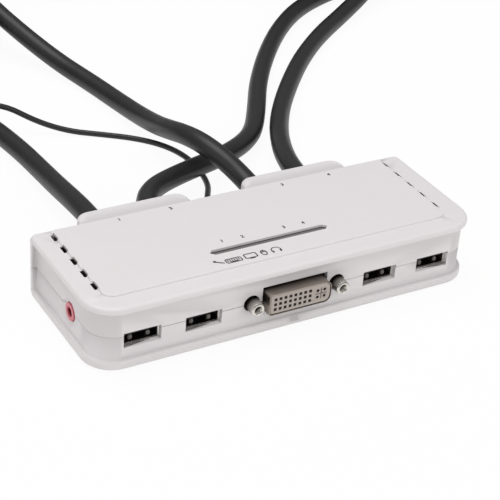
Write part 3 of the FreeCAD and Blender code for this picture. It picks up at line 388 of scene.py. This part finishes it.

# ---- monitor socket -------------------------------------------------------------------------------
# A drawn steel shell with satin nickel plate, painted darker towards the wall as painted shade, a pale
# PBT block with its contact holes, and gold flashed springs deep in them.
satin_nickel = moulded("satin_nickel_plate", ("#a39a92", "#b3aba2"), 0.30, 0.5, 0.002, 3.0, 0.06,
                       **{"Metallic": 1.0})
# The block is painted dark brown behind its front face, as painted shade in its contact holes.
pale_pbt = moulded("moulded_pale_pbt", ("#b8aea6", "#afa59d"), 0.5, 0.2, 0.004, 5.0, 0.04,
                   ("#2c2320", (-13, -28.7, 8), (13, -10, 18)), **{"IOR": 1.55, "Specular IOR Level": 0.4})
gold_flash = moulded("gold_flashed_bronze", ("#d8a848", "#c8963c"), 0.28, 0.3, 0.001, 2.0,
                     **{"Metallic": 1.0})
# Painted shade: the shell's nickel turns dark brown towards the wall.
drawn_nickel = moulded("drawn_shell_nickel", ("#968d85", "#a59c93"), 0.33, 0.5, 0.002, 3.0, 0.06,
                       shade_fade=("#2b2623", -28.2, -24.6), **{"Metallic": 1.0})
smooth_copy("dvi_shell", drawn_nickel)
smooth_copy("dvi_insulator", pale_pbt)
for node in ("dvi_contacts", "usb_contacts"):
    smooth_copy(node, gold_flash)

# ---- fluted standoffs -----------------------------------------------------------------------------
# Turned from nickel-plated steel bar with 24 fine lengthwise flutes, a bevelled bright rim and a 4-40
# thread inside, and screwed down through the socket's flange. The plate is painted darker towards the wall,
# as painted shade.
bright_steel = moulded("bright_nickel_steel", ("#bdb8b0", "#cfcac2"), 0.2, 0.4, 0.002, 2.0, 0.05,
                       **{"Metallic": 1.0})


def surface_piece(name, points, material):
    """A mesh from rows of points; each row is a closed ring."""
    rows, columns = points.shape[:2]
    index = np.arange(rows * columns).reshape(rows, columns)
    index = np.hstack([index, index[:, :1]])
    quads = np.stack([index[:-1, :-1], index[1:, :-1], index[1:, 1:], index[:-1, 1:]], axis=-1).reshape(-1, 4)
    mesh = bpy.data.meshes.new(name)
    mesh.from_pydata(placed(points.reshape(-1, 3)), [], quads.tolist())
    mesh.materials.append(material)
    mesh.shade_smooth()
    mesh.set_sharp_from_angle(angle=math.radians(35))
    piece = bpy.data.objects.new(name, mesh)
    scene.collection.objects.link(piece)
    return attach(piece, "switch")


def turned_about_y(profile, x, z, flutes, depth):
    """A profile of (y, radius, share of fluting) carried round an axis along Y; the flutes are a
    cosine of the angle taken from the radius."""
    y, radius, share = np.asarray(profile, float).T[:, :, None]
    angle = np.linspace(0, 2 * math.pi, flutes * 8, endpoint=False)[None, :]
    r = radius - depth * share * (0.5 - 0.5 * np.cos(flutes * angle))
    return np.stack([x + r * np.cos(angle), y + 0 * angle, z + r * np.sin(angle)], axis=-1)


dvi_z, jackscrew_tip, wall_face, screw_step = 12.95, -29.6, -24.9, 16.5
flute_count, flute_depth, outside = 24, 0.22, 2.5
bore_end, bore_radius, half_pitch, thread_depth = jackscrew_tip + 5, 1.3, 0.16, 0.12
bore_profile = [(bore_end, 0.02, 0), (bore_end, bore_radius, 0)]
bore_profile += [(bore_end - 0.1 - half_pitch * n, bore_radius - thread_depth * (n % 2), 0)
                 for n in range(28)]
barrel_profile = bore_profile + [(jackscrew_tip + 0.25, 1.36, 0), (jackscrew_tip, 1.65, 0),
                                 (jackscrew_tip, 2.05, 0), (jackscrew_tip + 0.45, 2.42, 0),
                                 (jackscrew_tip + 0.7, outside, 1), (wall_face + 1.9, outside, 1),
                                 (wall_face + 2, 0.02, 0)]
# Painted shade: the barrels turn dark brown towards the wall.
fluted_steel = moulded("fluted_nickel_steel", ("#d8d3cc", "#e2ded8"), 0.22, 0.4, 0.002, 2.0, 0.05,
                       shade_fade=("#2e2925", -29.5, -25.8), **{"Metallic": 0.9})
for side, word in ((-1, "left"), (1, "right")):
    barrel = turned_about_y(barrel_profile, side * screw_step, dvi_z, flute_count, flute_depth)
    standoff = surface_piece(f"standoff_{word}", barrel, fluted_steel)
    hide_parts("dvi_jackscrews")

# ---- USB sockets --------------------------------------------------------------------------------
# Four folded tin-plated shells with a black tongue each, and two rounded spring bumps that hold the
# plug just inside each mouth.
# The shells are painted near-black behind their front lips, as painted shade inside the sockets.
tin_plate = moulded("tin_plated_steel", ("#cfcbc6", "#dad6d1"), 0.27, 0.6, 0.002, 3.0, 0.06,
                    ("#1c1a19", (-64, -22.7, 5), (64, -5, 16)), **{"Metallic": 0.7})
# The spring bumps are painted a flat mid grey, not metal: a painted highlight for the light they catch in the
# dark mouth.
bump_glint_paint = moulded("spring_steel_painted_glint", ("#5f5b57", "#6a6662"), 0.5, 0.4, 0.002, 2.0, 0.06)
black_pbt = moulded("moulded_black_pbt", ("#0f0f10", "#161617"), 0.45, 0.2, 0.004, 5.0, **{"IOR": 1.55})
for n in range(1, 5):
    smooth_copy(f"usb_shell_{n}", tin_plate)
smooth_copy("usb_tongues", black_pbt)


def bead(name, centre, size, material):
    """An ellipsoid of three sizes round a centre."""
    rings, steps = 14, 24
    tilt = np.linspace(0.02, math.pi - 0.02, rings)[:, None]
    angle = np.linspace(0, 2 * math.pi, steps, endpoint=False)[None, :]
    x = centre[0] + size[0] / 2 * np.sin(tilt) * np.cos(angle)
    y = centre[1] + size[1] / 2 * np.sin(tilt) * np.sin(angle)
    z = centre[2] + size[2] / 2 * np.cos(tilt) + 0 * angle
    return surface_piece(name, np.stack([x, y, z], axis=-1), material)


bump_y, bump_z, bump_size = -21.9, 9.9, (1.7, 1.2, 2.0)
for n, socket_x in enumerate((-56.35, -34.25, 34.25, 56.35), 1):
    for word, step in (("left", -3.2), ("right", 3.2)):
        bead(f"usb_spring_bump_{n}_{word}", (socket_x + step, bump_y, bump_z), bump_size, bump_glint_paint)

# ---- sound jacks --------------------------------------------------------------------------------
# A black body behind each end wall, with a coloured ring in the hole: pink for the microphone, pale
# green for headphones.
# The pink ring is painted deep red inside the hole, as painted shade.
pink_pp = moulded("moulded_pink_pp", ("#dc7883", "#d26c78"), 0.35, 0.2, 0.004, 3.0, 0.04,
                  ("#8e1f30", (-71.6, -4.9, 9.2), (-66, -1.1, 13.0)), **{"IOR": 1.49})
green_pp = moulded("moulded_green_pp", ("#8fcf8a", "#86c481"), 0.35, 0.2, 0.004, 3.0, **{"IOR": 1.49})
smooth_copy("mic_jack_ring", pink_pp)
smooth_copy("headphone_jack_ring", green_pp)
for node in ("mic_jack", "headphone_jack"):
    smooth_copy(node, black_pbt)

# ---- printed marks ----------------------------------------------------------------------------------
# Pad-printed dark grey ink on the panel: a digit beside each cable and each LED, and outline
# pictograms of a microphone, keyboard, monitor, mouse and headphones under the window.
ink = moulded("grey_pad_print_ink", ("#2e2c2b", "#363433"), 0.5, 0.3, 0.002, 2.0, **{"IOR": 1.5})
PRINT_Z = 25.2 + 0.03


def printed(name, mesh):
    """One printed mark, from a flat mesh."""
    mesh.materials.clear()
    mesh.materials.append(ink)
    piece = bpy.data.objects.new(name, mesh)
    scene.collection.objects.link(piece)
    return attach(piece, "switch")


def digit(name, sign, x, y, height):
    """One numeral, its middle at x, y, as a flat mesh."""
    letter = bpy.data.curves.new(name, "FONT")
    letter.body = sign
    letter.size = height * MM / 0.72
    letter.align_x, letter.align_y = "CENTER", "CENTER"
    letter.offset = 0.09 * MM
    glyph = bpy.data.objects.new(name + "_glyph", letter)
    mesh = bpy.data.meshes.new_from_object(glyph)
    mesh.transform(Matrix.Translation(placed((x, y, PRINT_Z))))
    bpy.data.objects.remove(glyph)
    return printed(name, mesh)


def strokes(name, lines, width=0.4):
    """Flat ribbons along polylines; each is a list of x, y points."""
    points, quads = [], []
    for line in lines:
        line = np.asarray(line, float)
        run = np.diff(line, axis=0)
        run /= np.linalg.norm(run, axis=1)[:, None]
        way = np.vstack([run[:1], run[:-1] + run[1:], run[-1:]])
        way /= np.linalg.norm(way, axis=1)[:, None]
        side = np.c_[-way[:, 1], way[:, 0]] * width / 2
        first = len(points)
        for left, right_edge in zip(line + side, line - side):
            points += [(*left, PRINT_Z), (*right_edge, PRINT_Z)]
        quads += [(first + 2 * n, first + 2 * n + 1, first + 2 * n + 3, first + 2 * n + 2)
                  for n in range(len(line) - 1)]
    mesh = bpy.data.meshes.new(name)
    mesh.from_pydata(placed(points), [], quads)
    return printed(name, mesh)


def ring_points(x, y, across, tall, first=0, last=360):
    """Points on an oval round x, y, from one angle to another in degrees."""
    angle = np.radians(np.linspace(first, last, 20))
    return np.c_[x + across / 2 * np.cos(angle), y + tall / 2 * np.sin(angle)]


def frame_points(x0, x1, y0, y1):
    """A closed rectangle with cut corners."""
    snip = 0.35
    return [(x0 + snip, y0), (x1 - snip, y0), (x1, y0 + snip), (x1, y1 - snip), (x1 - snip, y1),
            (x0 + snip, y1), (x0, y1 - snip), (x0, y0 + snip), (x0 + snip, y0)]


DIGIT = 1.5
for sign, x, y in (("1", -17, -3.6), ("2", -9.2, -3.8), ("3", 7, -3.9), ("4", 14.6, -4)):
    digit("led_digit_" + sign, sign, x, y, DIGIT)
for sign, x, y in (("1", -42.6, 22.5), ("2", -23, 22.5), ("3", 21.6, 22), ("4", 41.2, 22)):
    digit("cable_digit_" + sign, sign, x, y, DIGIT)
strokes("microphone_mark", [[(-22.8, -16.3), (-23.9, -15.6), (-25.2, -14.6)]], 0.55)
strokes("microphone_head_mark", [ring_points(-25.5, -14.3, 0.7, 0.7)], 0.5)
keyboard = [frame_points(-22.0, -16.2, -16.9, -14.6)]
keyboard += [[(x, y), (x + 0.45, y)] for y in (-15.1, -15.6, -16.1) for x in np.arange(-21.5, -16.9, 0.85)]
keyboard.append([(-20.6, -16.5), (-17.6, -16.5)])
strokes("keyboard_mark", keyboard)
strokes("monitor_mark", [frame_points(-14.8, -10.4, -16.7, -14.2), [(-13.6, -17.1), (-11.6, -17.1)]], 0.48)
strokes("mouse_mark", [ring_points(-7.6, -15.6, 2.0, 2.9), [(-8.5, -15.2), (-6.7, -15.2)],
                       [(-7.6, -15.2), (-7.6, -14.2)]])
strokes("headphones_mark", [ring_points(-2.9, -15.7, 3.4, 3.2, 0, 180), [(-4.6, -15.7), (-4.6, -16.5)],
                            [(-1.2, -15.7), (-1.2, -16.5)]])
strokes("headphones_pads_mark", [[(-4.3, -15.8), (-4.3, -17.0)], [(-1.5, -15.8), (-1.5, -17.0)]], 0.6)

# ---- status window, light guides and LEDs -----------------------------------------------------------
# A smoked polycarbonate pane lies in the slot of the panel, over four clear acrylic guides.
smoked_pc = moulded("smoked_polycarbonate", ("#6f6c6d", "#787576"), 0.22, 0.6, 0.002, 4.0, **{"IOR": 1.58})
clear_acrylic = moulded("clear_acrylic", ("#d9dedd", "#d9dedd"), 0.08, 0.6, 0.001, 4.0,
                        **{"IOR": 1.49, "Transmission Weight": 0.9})
lens_green = moulded("green_led_lens", ("#6fae62", "#6fae62"), 0.2, 0.6, 0.001, 4.0, **{"IOR": 1.5})
smooth_copy("led_window", smoked_pc)
smooth_copy("light_guides", clear_acrylic)
smooth_copy("status_leds", lens_green)

# ---- circuit board, parts and screws ----------------------------------------------------------------
# A green FR4 board with its chips and cans sits on the lower shell's posts; steel screws hold it and
# join the shells from below.
green_mask = moulded("green_solder_mask", ("#145a2c", "#1a6a34"), 0.3, 0.5, 0.004, 2.0, **{"IOR": 1.5})
zinc_steel = moulded("zinc_plated_steel", ("#8f8f8c", "#a2a29e"), 0.33, 0.4, 0.003, 3.0, 0.07,
                     **{"Metallic": 1.0})
smooth_copy("circuit_board", green_mask)
smooth_copy("board_parts", black_pbt)
for node in ("case_screws", "board_screws"):
    smooth_copy(node, zinc_steel)

# ---- feet -------------------------------------------------------------------------------------------
# Four die-cut discs of black polyurethane rubber, glued in wells under the case.
foot_rubber = moulded("cast_black_rubber", ("#202020", "#292929"), 0.7, 0.3, 0.02, 3.0, **{"IOR": 1.5})
smooth_copy("rubber_feet", foot_rubber)

# ---- strain reliefs -----------------------------------------------------------------------------------
# Soft black PVC moulded round each cable and clamped in the back wall.
relief_pvc = moulded("moulded_black_pvc", ("#19191a", "#222224"), 0.5, 0.3, 0.01, 5.0, **{"IOR": 1.5})
relief_places = [route[0] for route in CABLE_ROUTES] + [REMOTE_ROUTE[0]]
reliefs = [smooth_copy("strain_reliefs", relief_pvc, number=n, around=(place[0], 30, 0), reach=12)
           for n, place in enumerate(relief_places, 1)]

# ---- monitor and USB plugs ------------------------------------------------------------------------------
# Black PVC moulded over the plugs, nickel-plated shells, and steel thumbscrews that turn freely.
plug_pieces, usb_pieces = [], []
for n in range(1, 5):
    middle = beside_plug([(20, 0, 0)], n)[0]
    parts = [smooth_copy(f"dvi_plug_{n}", relief_pvc), smooth_copy(f"dvi_plug_shell_{n}", satin_nickel),
             smooth_copy("dvi_plug_pins", gold_flash, number=n, around=middle)]
    for side in ("left", "right"):
        screw = f"thumbscrew_{n}_{side}"
        parts.append(smooth_copy(screw, bright_steel, body=screw))
    plug_pieces.append(parts)
    usb_pieces.append([smooth_copy("usb_plugs", relief_pvc, number=n, around=middle),
                       smooth_copy("usb_plug_shells", tin_plate, number=n, around=middle)])

# ---- remote selector --------------------------------------------------------------------------------
# A grey ABS button with a soft dome under it, in the white puck.
grey_abs = moulded("moulded_grey_abs", ("#5a5b5e", "#626366"), 0.4, 0.25, 0.008, 8.0, **{"IOR": 1.53})
remote_pieces = [smooth_copy(node, white_abs) for node in ("remote_base", "remote_cover")]
remote_pieces.append(smooth_copy("remote_button", grey_abs, body="remote_button"))
